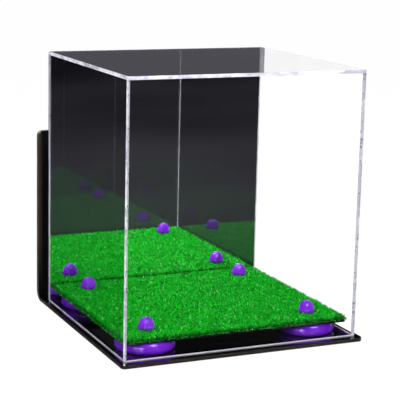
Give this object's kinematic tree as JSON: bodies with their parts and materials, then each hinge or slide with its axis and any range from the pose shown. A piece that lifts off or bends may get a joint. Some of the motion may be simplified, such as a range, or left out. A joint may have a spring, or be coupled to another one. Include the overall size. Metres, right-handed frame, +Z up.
{
  "type": "acrylic display case",
  "caption": "Clear box cover with a mirrored back over a raised turf platform, on a black base sheet bent up into a wall-mount leg.",
  "frame": {"origin": "under the middle of the whole case, on the underside of the base sheet", "axes": "+Z up, +Y towards the wall, so that the front faces -Y, +X to the right of a viewer in front"},
  "size_m": [0.292, 0.2928, 0.3078],
  "materials": {
    "clear_acrylic": "polished",
    "mirror_acrylic": "polished",
    "black_acrylic": "gloss",
    "black_board": "satin",
    "turf": "matte",
    "purple_plastic": "gloss",
    "steel": "satin"
  },
  "bodies": {
    "base": {"wall_bracket": "black_acrylic"},
    "cover": {"front_panel": "clear_acrylic", "left_panel": "clear_acrylic", "right_panel": "clear_acrylic", "top_panel": "clear_acrylic", "mirror_panel": "mirror_acrylic"},
    "platform": {"platform_board": "black_board", "turf_mat": "turf", "front_left_riser": "purple_plastic", "front_right_riser": "purple_plastic", "back_left_riser": "purple_plastic", "back_right_riser": "purple_plastic", "front_left_screw": "steel", "front_right_screw": "steel", "back_left_screw": "steel", "back_right_screw": "steel", "front_left_cap_nut": "purple_plastic", "front_right_cap_nut": "purple_plastic", "back_left_cap_nut": "purple_plastic", "back_right_cap_nut": "purple_plastic"}
  },
  "joints": [
    {"name": "cover_lift", "type": "slide", "parent": "base", "child": "cover", "axis": [0, 0, 1], "range_m": [0, 0.33]},
    {"name": "platform_lift", "type": "slide", "parent": "base", "child": "platform", "axis": [0, 0, 1], "range_m": [0, 0.25]}
  ]
}
